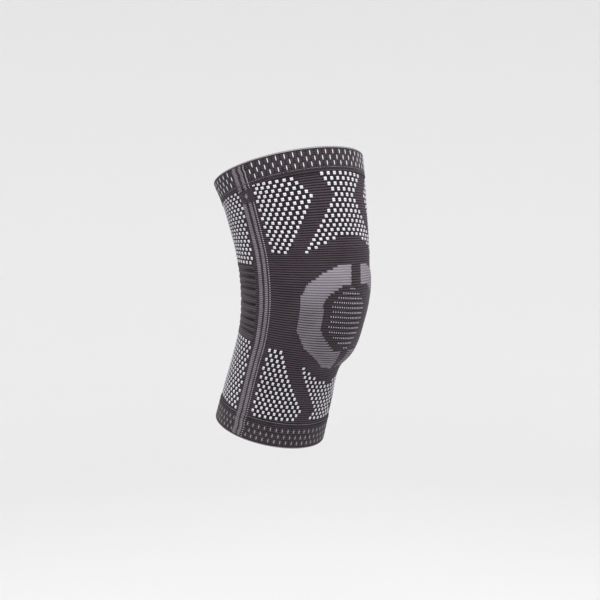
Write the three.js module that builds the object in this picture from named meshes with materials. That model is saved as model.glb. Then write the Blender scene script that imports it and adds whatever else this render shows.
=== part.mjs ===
// Knitted knee sleeve as it sits on a slightly bent leg, in millimetres, +Z up.
// The origin is the centre of the leg hollow at the knee. The front of the knee
// faces -Y and the lateral (outer) side faces -X.
// Every piece starts as a plain lathe or box in knit coordinates and is wrapped on the
// leg form: angle runs round the leg from the front towards the lateral side, level
// climbs from the calf opening (0) to the thigh opening (1), and lift is the height
// above the knitted outer face.

import * as THREE from "three";
import { mergeVertices } from "three/addons/utils/BufferGeometryUtils.js";

// Leg form: outer width (side to side) and depth (front to back) of the worn sleeve
const THIGH_WIDTH = 154;
const THIGH_DEPTH = 146;
const KNEE_WIDTH = 120;
const KNEE_DEPTH = 131;
const CALF_WIDTH = 104;
const CALF_DEPTH = 124;

// How far each opening's centre lies from the knee, and how far it is set back
const THIGH_REACH = 124;
const CALF_REACH = 139;
const THIGH_SET_BACK = 21;
const CALF_SET_BACK = 52;

// Lean of the cross-sections in degrees, front edge up
const THIGH_LEAN = 17;
const KNEE_LEAN = -3;
const CALF_LEAN = -11.5;

// Walls and gaps
const KNIT_WALL = 2.2;
const CUFF_WALL = 2.6;
const CUFF_PROUD = 0.5;
const THIGH_CUFF_HEIGHT = 21;
const CALF_CUFF_HEIGHT = 22.5;
const PATCH_THICKNESS = 1;
const GAP = 0.3;
const PATCH_SEAT = 0.6;

// Rolled edge at each opening and raised seam where a cuff joins the sleeve
const EDGE_ROLL = 3;
const SEAM_WIDTH = 2.4;
const SEAM_PROUD = 1.2;

// Kneecap bulge, the hollow under it and the flatter inner side of the shin
const KNEECAP_RISE = 9;
const HOLLOW_DIP = 3;
const SHIN_DIP = 6;

// Padded ring round the kneecap: thickness in the middle and at its edges
const RING_LEVEL = 0.444;
const RING_TURN = -2;
const RING_HALF_ANGLE = 52;
const RING_HALF_HEIGHT = 48.5;
const RING_PAD = 1.8;
const RING_EDGE_PAD = 1.1;

// Side bands: widths, and the angle of each band's middle from the front
const REAR_BAND_WIDTH = 5;
const REAR_BAND_ANGLE = 85.2;
const FRONT_BAND_WIDTH = 3.4;
const FRONT_BAND_ANGLE = 78.3;
const PIPING_WIDTH = 1.2;
const PIPING_ANGLE = 74.6;

// Size patch that covers the lateral bands under the thigh cuff
const SIZE_PATCH_WIDTH = 14;
const SIZE_PATCH_HEIGHT = 11;
const SIZE_PATCH_ANGLE = 81.5;
const SIZE_PATCH_DROP = 2.5;

// Gathered panel in the hollow behind the knee
const BACK_PANEL_START = 90;
const BACK_PANEL_TOP = 0.607;
const BACK_PANEL_BOTTOM = 0.35;
const FOLD_RISE = 1.3;
const FOLD_WIDTH = 5;

// Fineness of the meshes
const COLUMNS = 48;
const SLEEVE_ROWS = 30;
const LINING_ROWS = 10;
const CUFF_ROWS = 3;
const CUFF_LINING_ROWS = 2;
const ROLL_SIDES = 6;
const BAND_ROWS = 20;
const SIZE_PATCH_ROWS = 3;
const BACK_PANEL_ROWS = 22;
const KNEECAP_COLUMNS = 8;
const KNEECAP_ROWS = 10;
const RING_COLUMNS = 3;
const RING_STEPS = 3;

// Sections from the calf opening to the thigh opening, evenly spaced in level. Each
// column is a share of the way from the knee (0) to that end's own size (1).
const SECTIONS = [
  { reach: 1, setBack: 1, lean: 1, width: 1, depth: 1 },
  { reach: 0.71, setBack: 0.72, lean: 0.76, width: 1, depth: 1.6 },
  { reach: 0.465, setBack: 0.43, lean: 0.65, width: 0.75, depth: 2 },
  { reach: 0.25, setBack: 0.16, lean: 0.41, width: 0.38, depth: 1.3 },
  { reach: 0, setBack: 0, lean: 0, width: 0, depth: 0 },
  { reach: 0.31, setBack: 0.02, lean: 0.18, width: 0.2, depth: 0.4 },
  { reach: 0.57, setBack: 0.31, lean: 0.38, width: 0.47, depth: 0.47 },
  { reach: 0.81, setBack: 0.64, lean: 0.68, width: 0.76, depth: 0.6 },
  { reach: 1, setBack: 1, lean: 1, width: 1, depth: 1 },
];

// Bulges on the front: rise in millimetres, and where and how widely it spreads
const BULGES = [
  { rise: KNEECAP_RISE, level: 0.43, halfLevel: 0.155, angle: 4, halfAngle: 39, edge: 4 },
  { rise: -HOLLOW_DIP, level: 0.26, halfLevel: 0.045, angle: 0, halfAngle: 30, edge: 2 },
  { rise: -SHIN_DIP, level: 0.225, halfLevel: 0.07, angle: -52, halfAngle: 28, edge: 2 },
];

// Lateral half of the kneecap ring from its top bar to its bottom bar. Angles are
// shares of RING_HALF_ANGLE and heights are shares of RING_HALF_HEIGHT.
const RING_CORNERS = [
  { outerAngle: 0.11, outerHeight: 1, innerAngle: 0.106, innerHeight: 0.67 },
  { outerAngle: 0.32, outerHeight: 1, innerAngle: 0.3, innerHeight: 0.665 },
  { outerAngle: 0.645, outerHeight: 0.855, innerAngle: 0.39, innerHeight: 0.615 },
  { outerAngle: 0.875, outerHeight: 0.685, innerAngle: 0.55, innerHeight: 0.52 },
  { outerAngle: 0.99, outerHeight: 0.47, innerAngle: 0.635, innerHeight: 0.385 },
  { outerAngle: 0.985, outerHeight: -0.15, innerAngle: 0.62, innerHeight: -0.11 },
  { outerAngle: 0.8, outerHeight: -0.51, innerAngle: 0.47, innerHeight: -0.33 },
  { outerAngle: 0.3, outerHeight: -0.96, innerAngle: 0.3, innerHeight: -0.515 },
  { outerAngle: 0.09, outerHeight: -1, innerAngle: 0.128, innerHeight: -0.52 },
];

// Crosswise folds of the back panel: level, and share of FOLD_RISE
const FOLDS = [
  { level: 0.59, rise: 0.6 },
  { level: 0.558, rise: 1 },
  { level: 0.514, rise: 0.9 },
  { level: 0.468, rise: 1 },
  { level: 0.42, rise: 0.7 },
  { level: 0.375, rise: 0.5 },
];

// Yarn colours
const DARK_KNIT = { color: 0x3f363e, roughness: 0.92 };
const RING_KNIT = { color: 0x716971, roughness: 0.9 };
const PANEL_KNIT = { color: 0x4c444b, roughness: 0.9 };
const FOLD_KNIT = { color: 0x3a323a, roughness: 0.94 };
const BAND_KNIT = { color: 0x857d85, roughness: 0.85 };
const EDGE_KNIT = { color: 0x9c959c, roughness: 0.9 };
const PATCH_KNIT = { color: 0x2c252b, roughness: 0.8 };

const KNEE_LEVEL = 0.5;
const FORM_STEP = 0.002;
const PACE_STEP = 0.01;
const FAN_START = 0.66;
const FAN_STEP = 0.1;
const degrees = THREE.MathUtils.degToRad;
const lerp = THREE.MathUtils.lerp;

// Leg form

function sectionValues(share, index) {
  const above = index > (SECTIONS.length - 1) / 2;
  const end = above
    ? { reach: THIGH_REACH, setBack: THIGH_SET_BACK, lean: THIGH_LEAN, width: THIGH_WIDTH, depth: THIGH_DEPTH }
    : { reach: -CALF_REACH, setBack: CALF_SET_BACK, lean: CALF_LEAN, width: CALF_WIDTH, depth: CALF_DEPTH };
  return {
    middle: new THREE.Vector3(
      degrees(lerp(KNEE_LEAN, end.lean, share.lean)),
      end.setBack * share.setBack,
      end.reach * share.reach,
    ),
    half: new THREE.Vector3(
      lerp(KNEE_WIDTH, end.width, share.width) / 2,
      lerp(KNEE_DEPTH, end.depth, share.depth) / 2,
      0,
    ),
  };
}

const sections = SECTIONS.map(sectionValues);
const smooth = (points) => new THREE.CatmullRomCurve3(points, false, "catmullrom", 0.5);
const middleLine = smooth(sections.map((section) => section.middle));
const halfSizes = smooth(sections.map((section) => section.half));

// Millimetres of the leg's middle line for one whole level, near a level
function paceAt(level) {
  const low = THREE.MathUtils.clamp(level - PACE_STEP, 0, 1 - PACE_STEP);
  const high = THREE.MathUtils.clamp(level + PACE_STEP, PACE_STEP, 1);
  const from = middleLine.getPoint(low);
  const to = middleLine.getPoint(high);
  return Math.hypot(to.y - from.y, to.z - from.z) / (high - low);
}

const climb = (level, millimetres) => level + millimetres / paceAt(level);

// Angle that a width in millimetres takes at a level
function turn(millimetres, level) {
  const half = halfSizes.getPoint(THREE.MathUtils.clamp(level, 0, 1));
  return (2 * millimetres) / (half.x + half.y);
}

function bulgeAt(angle, level) {
  const rises = BULGES.map((bulge) => {
    const along = Math.abs((level - bulge.level) / bulge.halfLevel) ** bulge.edge;
    const away = Math.abs(angle - degrees(bulge.angle)) % (2 * Math.PI);
    const around = (Math.min(away, 2 * Math.PI - away) / degrees(bulge.halfAngle)) ** 2;
    return bulge.rise * Math.exp(-along - around);
  });
  return rises.reduce((sum, rise) => sum + rise, 0);
}

function formAt(angle, level) {
  const inside = THREE.MathUtils.clamp(level, 0, 1);
  const middle = middleLine.getPoint(inside);
  const half = halfSizes.getPoint(inside);
  const forward = half.y * Math.cos(angle) + bulgeAt(angle, inside);
  return new THREE.Vector3(
    -half.x * Math.sin(angle),
    middle.y - forward * Math.cos(middle.x),
    middle.z + forward * Math.sin(middle.x),
  );
}

const calfSeam = climb(0, CALF_CUFF_HEIGHT);
const thighSeam = climb(1, -THIGH_CUFF_HEIGHT);

// The leaning thigh opening spreads the form at the front and crowds it at the back,
// so levels are fanned to keep the thigh cuff one height all the way round.
function fanned(angle, level) {
  if (level <= FAN_START || level >= 1) return level;
  const slope = formAt(angle, 1).distanceTo(formAt(angle, 1 - FAN_STEP)) / FAN_STEP;
  const seam = 1 - THIGH_CUFF_HEIGHT / slope;
  if (level > thighSeam) return lerp(seam, 1, (level - thighSeam) / (1 - thighSeam));
  return lerp(FAN_START, seam, (level - FAN_START) / (thighSeam - FAN_START));
}

// Point that stands a lift above the knitted face. Past an opening the form runs on
// straight, so an edge roll can hang over it.
function skin(angle, knitLevel, lift) {
  const level = fanned(angle, knitLevel);
  const base = THREE.MathUtils.clamp(level, FORM_STEP, 1 - FORM_STEP);
  const around = formAt(angle + FORM_STEP, base).sub(formAt(angle - FORM_STEP, base));
  const up = formAt(angle, base + FORM_STEP).sub(formAt(angle, base - FORM_STEP));
  const normal = new THREE.Vector3().crossVectors(up, around).normalize();
  const past = (level - base) / (2 * FORM_STEP);
  return formAt(angle, base).addScaledVector(up, past).addScaledVector(normal, lift);
}

// Wrapping of plain three.js shapes

function closedBody(geometry, place) {
  geometry.deleteAttribute("normal");
  geometry.deleteAttribute("uv");
  const position = geometry.getAttribute("position");
  for (let i = 0; i < position.count; i += 1) {
    const spot = place(new THREE.Vector3().fromBufferAttribute(position, i));
    position.setXYZ(i, ...skin(spot.angle, spot.level, spot.lift));
  }
  const body = mergeVertices(geometry);
  if (signedVolume(body) < 0) body.index.array.reverse();
  body.computeVertexNormals();
  return body;
}

function signedVolume(geometry) {
  const position = geometry.getAttribute("position");
  const corner = (k) => new THREE.Vector3().fromBufferAttribute(position, geometry.index.getX(k));
  let volume = 0;
  for (let k = 0; k < geometry.index.count; k += 3) {
    volume += corner(k).dot(corner(k + 1).cross(corner(k + 2))) / 6;
  }
  return volume;
}

// Hoop round the leg whose closed section is a list of level and lift corners
function hoop(corners) {
  const core = 100;
  const profile = [...corners, corners[0]].map(({ level, lift }) => new THREE.Vector2(core + lift, level));
  return closedBody(new THREE.LatheGeometry(profile, COLUMNS), (point) => ({
    angle: Math.atan2(point.x, point.z),
    level: point.y,
    lift: Math.hypot(point.x, point.z) - core,
  }));
}

// Patch on the knitted face: place takes shares 0 to 1 across, along and through
function patch(across, along, place) {
  return closedBody(new THREE.BoxGeometry(1, 1, 1, across, along, 1), (point) =>
    place(point.x + 0.5, point.y + 0.5, point.z + 0.5),
  );
}

const patchLift = (through, thickness) => PATCH_SEAT + through * thickness;

// Hoops: the sleeve, its cuffs, seams and rolled edges

function wallHoop(from, to, outerLift, innerLift, outerRows, innerRows) {
  const corners = [];
  for (let row = 0; row <= outerRows; row += 1) {
    corners.push({ level: lerp(from, to, row / outerRows), lift: outerLift });
  }
  for (let row = 0; row <= innerRows; row += 1) {
    corners.push({ level: lerp(to, from, row / innerRows), lift: innerLift });
  }
  return hoop(corners);
}

function sleeveTube() {
  const clear = SEAM_WIDTH / 2 + GAP;
  return wallHoop(climb(calfSeam, clear), climb(thighSeam, -clear), 0, -KNIT_WALL, SLEEVE_ROWS, LINING_ROWS);
}

function cuff(seam, opening) {
  const towards = Math.sign(opening - seam);
  const from = climb(seam, towards * (SEAM_WIDTH / 2 + GAP));
  const to = climb(opening, -towards * GAP);
  return wallHoop(from, to, CUFF_PROUD, CUFF_PROUD - CUFF_WALL, CUFF_ROWS, CUFF_LINING_ROWS);
}

function seamWelt(seam) {
  const half = SEAM_WIDTH / 2;
  return hoop([
    { level: climb(seam, -half), lift: -KNIT_WALL },
    { level: climb(seam, -half), lift: SEAM_PROUD / 2 },
    { level: seam, lift: SEAM_PROUD },
    { level: climb(seam, half), lift: SEAM_PROUD / 2 },
    { level: climb(seam, half), lift: -KNIT_WALL },
  ]);
}

function edgeWelt(opening) {
  const outward = Math.sign(opening - KNEE_LEVEL);
  const radius = EDGE_ROLL / 2;
  const centre = CUFF_PROUD - CUFF_WALL / 2;
  const reach = radius * Math.cos(Math.PI / ROLL_SIDES);
  const corners = [];
  for (let side = 0; side < ROLL_SIDES; side += 1) {
    const around = ((side + 0.5) / ROLL_SIDES) * 2 * Math.PI;
    corners.push({
      level: climb(opening, outward * (reach + radius * Math.cos(around))),
      lift: centre + radius * Math.sin(around),
    });
  }
  return hoop(corners);
}

// Kneecap ring and the panel inside it

function cornerAt(share) {
  const at = share * (RING_CORNERS.length - 1);
  const index = Math.min(Math.floor(at), RING_CORNERS.length - 2);
  const from = RING_CORNERS[index];
  const to = RING_CORNERS[index + 1];
  const blend = (key) => lerp(from[key], to[key], at - index);
  return {
    outerAngle: blend("outerAngle"),
    outerHeight: blend("outerHeight"),
    innerAngle: blend("innerAngle"),
    innerHeight: blend("innerHeight"),
  };
}

const ringAngle = (share, side) => degrees(RING_TURN + side * share * RING_HALF_ANGLE);
const ringLevel = (share) => climb(RING_LEVEL, share * RING_HALF_HEIGHT);

function ringHalf(side) {
  const steps = (RING_CORNERS.length - 1) * RING_STEPS;
  return patch(RING_COLUMNS, steps, (across, along, through) => {
    const corner = cornerAt(along);
    const crown = 4 * across * (1 - across);
    return {
      angle: ringAngle(lerp(corner.innerAngle, corner.outerAngle, across), side),
      level: ringLevel(lerp(corner.innerHeight, corner.outerHeight, across)),
      lift: patchLift(through, lerp(RING_EDGE_PAD, RING_PAD, crown)),
    };
  });
}

// Half angle of the ring's inner edge at a height share
function ringInside(height) {
  const below = RING_CORNERS.findIndex((corner) => corner.innerHeight <= height);
  const to = RING_CORNERS[Math.max(below, 2)];
  const from = RING_CORNERS[Math.max(below, 2) - 1];
  const share = (height - from.innerHeight) / (to.innerHeight - from.innerHeight);
  return lerp(from.innerAngle, to.innerAngle, share);
}

function kneecapPanel() {
  const clearHeight = (2 * GAP) / RING_HALF_HEIGHT;
  const clearAngle = turn(3 * GAP, RING_LEVEL) / degrees(RING_HALF_ANGLE);
  const top = RING_CORNERS[1].innerHeight - clearHeight;
  const bottom = RING_CORNERS.at(-2).innerHeight + clearHeight;
  return patch(KNEECAP_COLUMNS, KNEECAP_ROWS, (across, along, through) => {
    const height = lerp(bottom, top, along);
    const half = ringInside(height) - clearAngle;
    return {
      angle: ringAngle((2 * across - 1) * half, 1),
      level: ringLevel(height),
      lift: patchLift(through, PATCH_THICKNESS),
    };
  });
}

// Side bands and the size patch

const patchTop = climb(thighSeam, -SIZE_PATCH_DROP);
const patchBottom = climb(patchTop, -SIZE_PATCH_HEIGHT);
const bandBottom = climb(calfSeam, SEAM_WIDTH);
const bandTop = { lateral: climb(patchBottom, -GAP), medial: climb(thighSeam, -SEAM_WIDTH) };

function strip(middleAngle, width, from, to, rows, side) {
  return patch(1, rows, (across, along, through) => {
    const level = lerp(from, to, along);
    return {
      angle: side * (degrees(middleAngle) + (across - 0.5) * turn(width, level)),
      level,
      lift: patchLift(through, PATCH_THICKNESS),
    };
  });
}

const band = (angle, width, top, side) => strip(angle, width, bandBottom, top, BAND_ROWS, side);

function sizePatch() {
  return strip(SIZE_PATCH_ANGLE, SIZE_PATCH_WIDTH, patchBottom, patchTop, SIZE_PATCH_ROWS, 1);
}

// Gathered panel behind the knee

function foldAt(level) {
  const rises = FOLDS.map((fold) => {
    const away = ((level - fold.level) * paceAt(fold.level)) / (FOLD_WIDTH / 2);
    return fold.rise * Math.exp(-away * away);
  });
  return FOLD_RISE * rises.reduce((sum, rise) => sum + rise, 0);
}

function backPanel() {
  const start = degrees(BACK_PANEL_START);
  const columns = Math.round(COLUMNS * (1 - start / Math.PI));
  return patch(columns, BACK_PANEL_ROWS, (across, along, through) => {
    const level = lerp(BACK_PANEL_BOTTOM, BACK_PANEL_TOP, along);
    const fade = Math.sin(Math.PI * across) ** 0.5;
    return {
      angle: lerp(start, 2 * Math.PI - start, across),
      level,
      lift: patchLift(through, PATCH_THICKNESS + foldAt(level) * fade),
    };
  });
}

// Assembly

const sleeve = new THREE.Group();

function add(name, geometry, knit) {
  const material = new THREE.MeshStandardMaterial({ ...knit, metalness: 0 });
  const mesh = new THREE.Mesh(geometry, material);
  mesh.name = name;
  sleeve.add(mesh);
}

add("sleeve_tube", sleeveTube(), DARK_KNIT);
add("upper_cuff", cuff(thighSeam, 1), DARK_KNIT);
add("lower_cuff", cuff(calfSeam, 0), DARK_KNIT);
add("upper_seam_welt", seamWelt(thighSeam), DARK_KNIT);
add("lower_seam_welt", seamWelt(calfSeam), DARK_KNIT);
add("upper_edge_welt", edgeWelt(1), EDGE_KNIT);
add("lower_edge_welt", edgeWelt(0), EDGE_KNIT);
add("kneecap_panel", kneecapPanel(), PANEL_KNIT);
add("back_of_knee_panel", backPanel(), FOLD_KNIT);
add("size_patch", sizePatch(), PATCH_KNIT);
for (const [name, side] of [["lateral", 1], ["medial", -1]]) {
  add(`kneecap_ring_${name}`, ringHalf(side), RING_KNIT);
  add(`rear_band_${name}`, band(REAR_BAND_ANGLE, REAR_BAND_WIDTH, bandTop[name], side), BAND_KNIT);
  add(`front_band_${name}`, band(FRONT_BAND_ANGLE, FRONT_BAND_WIDTH, bandTop[name], side), BAND_KNIT);
  add(`piping_${name}`, band(PIPING_ANGLE, PIPING_WIDTH, bandTop[name], side), EDGE_KNIT);
}

export default sleeve;
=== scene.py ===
"""Knitted knee sleeve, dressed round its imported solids. Lengths are in metres.

Every piece is laid out in knit coordinates and wrapped on the leg form that the solids
share: angle runs round the leg from the front towards the lateral side, level climbs
from the calf opening (0) to the thigh opening (1), and lift stands off the knitted face.
"""

import math

import bpy
import numpy as np
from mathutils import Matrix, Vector


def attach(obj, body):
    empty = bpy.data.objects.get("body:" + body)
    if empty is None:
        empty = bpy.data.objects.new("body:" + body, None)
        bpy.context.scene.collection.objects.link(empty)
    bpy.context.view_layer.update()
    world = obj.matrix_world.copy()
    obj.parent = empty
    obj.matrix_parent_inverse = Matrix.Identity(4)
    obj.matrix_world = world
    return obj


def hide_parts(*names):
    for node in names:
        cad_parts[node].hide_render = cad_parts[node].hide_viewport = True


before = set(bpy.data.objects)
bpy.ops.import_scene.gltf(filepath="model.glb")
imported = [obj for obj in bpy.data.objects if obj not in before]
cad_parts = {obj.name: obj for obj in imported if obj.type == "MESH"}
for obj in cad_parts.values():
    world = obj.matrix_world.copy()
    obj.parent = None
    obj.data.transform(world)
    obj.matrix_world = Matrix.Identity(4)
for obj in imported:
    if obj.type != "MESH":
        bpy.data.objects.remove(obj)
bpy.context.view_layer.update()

MM = 0.001

# Leg form, with the solids' own sizes
KNEE = {"width": 0.120, "depth": 0.131, "lean": -3}
THIGH = {"width": 0.154, "depth": 0.146, "lean": 17, "reach": 0.124, "set_back": 0.021}
CALF = {"width": 0.104, "depth": 0.124, "lean": -11.5, "reach": -0.139, "set_back": 0.052}
SECTION_COLUMNS = ("reach", "set_back", "lean", "width", "depth")
SECTIONS = [
    (1, 1, 1, 1, 1),
    (0.71, 0.72, 0.76, 1, 1.6),
    (0.465, 0.43, 0.65, 0.75, 2),
    (0.25, 0.16, 0.41, 0.38, 1.3),
    (0, 0, 0, 0, 0),
    (0.31, 0.02, 0.18, 0.2, 0.4),
    (0.57, 0.31, 0.38, 0.47, 0.47),
    (0.81, 0.64, 0.68, 0.76, 0.6),
    (1, 1, 1, 1, 1),
]
BULGES = [
    {"rise": 0.009, "level": 0.43, "half_level": 0.155, "angle": 4, "half_angle": 39, "edge": 4},
    {"rise": -0.003, "level": 0.26, "half_level": 0.045, "angle": 0, "half_angle": 30, "edge": 2},
    {"rise": -0.006, "level": 0.225, "half_level": 0.07, "angle": -52, "half_angle": 28, "edge": 2},
]
FORM_STEP = 0.002

# Walls, cuffs and seams
KNIT_WALL = 2.2 * MM
CUFF_WALL = 2.6 * MM
CUFF_PROUD = 0.5 * MM
THIGH_CUFF_HEIGHT = 21 * MM
CALF_CUFF_HEIGHT = 22.5 * MM
FAN_START = 0.66
FAN_STEP = 0.1
SEAM_WIDTH = 2.4 * MM

# The knit: half dot periods round the leg, and how far courses are drawn apart by level
WALES = 130
WALE = 360 / WALES
COURSE_PITCH = [
    (0.0, 0.0062),
    (0.08, 0.0066),
    (0.15, 0.0078),
    (0.25, 0.0092),
    (0.33, 0.0094),
    (0.38, 0.0086),
    (0.45, 0.0078),
    (0.52, 0.0071),
    (0.6, 0.0068),
    (0.68, 0.0070),
    (0.78, 0.0076),
    (0.9, 0.0083),
    (1.0, 0.0088),
]
RIB_RISE = 0.3 * MM
ROWS_PER_COURSE = 6
INNER_ROWS = 14


# Leg form


def section_table():
    """One row per section: lean, set-back, height, half width, half depth."""
    rows = []
    for index, shares in enumerate(SECTIONS):
        share = dict(zip(SECTION_COLUMNS, shares))
        end = THIGH if index > len(SECTIONS) // 2 else CALF
        grow = {k: KNEE[k] + (end[k] - KNEE[k]) * share[k] for k in KNEE}
        rows.append(
            (
                math.radians(grow["lean"]),
                end["set_back"] * share["set_back"],
                end["reach"] * share["reach"],
                grow["width"] / 2,
                grow["depth"] / 2,
            )
        )
    table = np.array(rows)
    first, last = 2 * table[0] - table[1], 2 * table[-1] - table[-2]
    return np.vstack([first, table, last])


FORM_TABLE = section_table()


def section_at(level):
    """The sections' values at each level, on a smooth curve through the table."""
    place = np.clip(level, 0, 1) * (len(SECTIONS) - 1)
    index = np.clip(np.floor(place).astype(int), 0, len(SECTIONS) - 2)
    t = (place - index)[..., None]
    a, b, c, d = (FORM_TABLE[index + k] for k in range(4))
    return (
        b
        + 0.5 * t * (c - a)
        + t**2 * (a - 2.5 * b + 2 * c - 0.5 * d)
        + t**3 * (-0.5 * a + 1.5 * b - 1.5 * c + 0.5 * d)
    )


def form(angle, level):
    """Points of the leg form, which the knitted face follows, at angles in radians."""
    inside = np.clip(level, 0, 1)
    lean, back, height, wide, deep = np.moveaxis(section_at(inside), -1, 0)
    forward = deep * np.cos(angle)
    for bulge in BULGES:
        along = np.abs((inside - bulge["level"]) / bulge["half_level"]) ** bulge["edge"]
        away = (angle - math.radians(bulge["angle"]) + np.pi) % (2 * np.pi) - np.pi
        around = (away / math.radians(bulge["half_angle"])) ** 2
        forward = forward + bulge["rise"] * np.exp(-along - around)
    x = -wide * np.sin(angle)
    y = back - forward * np.cos(lean)
    z = height + forward * np.sin(lean)
    return np.stack([x, y, z], -1)


def fanned(angle, level):
    """Levels moved near the thigh so that the cuff is one height all the way round."""
    slope = np.linalg.norm(form(angle, 1.0) - form(angle, 1 - FAN_STEP), axis=-1) / FAN_STEP
    seam = 1 - THIGH_CUFF_HEIGHT / slope
    cuff = seam + (level - THIGH_SEAM) * (1 - seam) / (1 - THIGH_SEAM)
    tube = FAN_START + (level - FAN_START) * (seam - FAN_START) / (THIGH_SEAM - FAN_START)
    moved = np.where(level > THIGH_SEAM, cuff, tube)
    return np.where((level > FAN_START) & (level < 1), moved, level)


def skin(angle, level, lift):
    """Points that stand a lift above the knitted face, running on straight past an opening."""
    angle, level, lift = np.broadcast_arrays(angle, level, lift)
    level = fanned(angle, level)
    base = np.clip(level, FORM_STEP, 1 - FORM_STEP)
    around = form(angle + FORM_STEP, base) - form(angle - FORM_STEP, base)
    up = form(angle, base + FORM_STEP) - form(angle, base - FORM_STEP)
    normal = np.cross(up, around)
    normal /= np.linalg.norm(normal, axis=-1, keepdims=True)
    past = ((level - base) / (2 * FORM_STEP))[..., None]
    return form(angle, base) + up * past + normal * lift[..., None]


def pace(level):
    """Metres of the leg's middle line for one whole level."""
    low, high = np.clip(level - 0.01, 0, 0.99), np.clip(level + 0.01, 0.01, 1)
    step = section_at(np.asarray(high)) - section_at(np.asarray(low))
    return np.hypot(step[..., 1], step[..., 2]) / (high - low)


def climb(level, length):
    """The level that lies a length further up the leg."""
    return level + length / pace(level)


def turn(length, level):
    """Angle that a length takes round the leg at a level."""
    values = section_at(np.clip(level, 0, 1))
    return 2 * length / (values[..., 3] + values[..., 4])


def course_tables():
    """Levels from below the calf opening to above the thigh's, and the course at each."""
    levels = np.linspace(-0.05, 1.05, 2201)
    pitch = np.interp(levels, *zip(*COURSE_PITCH))
    step = levels[1] - levels[0]
    return levels, np.concatenate([[0], np.cumsum(step / ((pitch[1:] + pitch[:-1]) / 2))])


COURSE_LEVELS, COURSES = course_tables()


def course_at(level):
    return np.interp(level, COURSE_LEVELS, COURSES)


def level_at(course):
    return np.interp(course, COURSES, COURSE_LEVELS)


CALF_SEAM = float(climb(0.0, CALF_CUFF_HEIGHT))
THIGH_SEAM = float(climb(1.0, -THIGH_CUFF_HEIGHT))


# Meshes


class Cloth:
    """Gathers closed bodies of quads into one mesh, with knit coordinates as UVs."""

    def __init__(self):
        self.points, self.quads, self.uvs, self.tones = [], [], [], []
        self.count = 0

    def add(self, points, quads, uvs, tone=0.0):
        """points (N, 3), quads (M, 4), uvs (M, 4, 2); the body is turned to face out."""
        corner = points[quads]
        fan = np.cross(corner[:, 1], corner[:, 2]) + np.cross(corner[:, 2], corner[:, 3])
        if (corner[:, 0] * fan).sum() < 0:
            quads, uvs = quads[:, ::-1], uvs[:, ::-1]
        self.points.append(points)
        self.quads.append(quads + self.count)
        self.uvs.append(uvs)
        self.tones.append(np.broadcast_to(tone, len(points)))
        self.count += len(points)

    def build(self, name):
        points, quads = np.vstack(self.points), np.vstack(self.quads)
        mesh = bpy.data.meshes.new(name)
        mesh.vertices.add(len(points))
        mesh.vertices.foreach_set("co", points.astype(np.float32).ravel())
        mesh.loops.add(quads.size)
        mesh.loops.foreach_set("vertex_index", quads.astype(np.int32).ravel())
        mesh.polygons.add(len(quads))
        mesh.polygons.foreach_set("loop_start", np.arange(0, quads.size, 4, dtype=np.int32))
        mesh.polygons.foreach_set("loop_total", np.full(len(quads), 4, np.int32))
        layer = mesh.uv_layers.new(name="Knit")
        layer.data.foreach_set("uv", np.vstack(self.uvs).astype(np.float32).ravel())
        tone = mesh.attributes.new("tone", "FLOAT", "POINT")
        tone.data.foreach_set("value", np.concatenate(self.tones).astype(np.float32))
        mesh.update(calc_edges=True)
        mesh.shade_smooth()
        piece = bpy.data.objects.new(name, mesh)
        bpy.context.scene.collection.objects.link(piece)
        return piece


def grid_quads(rows, columns, wrap_rows=False, wrap_columns=False):
    """Quads of a grid of points, and the same on its grid of UVs, one wider where it wraps."""
    across = columns if wrap_columns else columns - 1
    along = rows if wrap_rows else rows - 1
    i, j = np.meshgrid(np.arange(along), np.arange(across), indexing="ij")
    i, j = i.ravel(), j.ravel()
    corners = ((0, 0), (0, 1), (1, 1), (1, 0))
    quads = [((i + a) % rows) * columns + (j + b) % columns for a, b in corners]
    spots = [(i + a) * (across + 1) + (j + b) for a, b in corners]
    return np.stack(quads, 1), np.stack(spots, 1)


def add_hoop(cloth, levels, lifts, tone=None):
    """A closed section carried round the leg: levels and lifts have a row for each corner."""
    rows, columns = lifts.shape
    angles = np.arange(columns) * (2 * np.pi / columns)
    levels = np.broadcast_to(levels, lifts.shape)
    points = skin(angles[None, :], levels, lifts).reshape(-1, 3)
    quads, spots = grid_quads(rows, columns, True, True)
    u = np.arange(columns + 1) * (WALES / columns)
    v = course_at(np.vstack([levels, levels[-1:]])[:, :1])
    uv = np.stack(np.broadcast_arrays(u[None, :], v), -1).reshape(-1, 2)
    cloth.add(points, quads, uv[spots], 0.0 if tone is None else tone.ravel())


def add_wall(cloth, levels, lifts, tones, inner_levels, inner_lift):
    """A knitted wall round the leg: a face in relief, closed by a plain one inside."""
    shape = (len(inner_levels), lifts.shape[1])
    levels = np.concatenate([levels, inner_levels])[:, None]
    lifts = np.vstack([lifts, np.full(shape, inner_lift)])
    add_hoop(cloth, levels, lifts, np.vstack([tones, np.zeros(shape)]))


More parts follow.
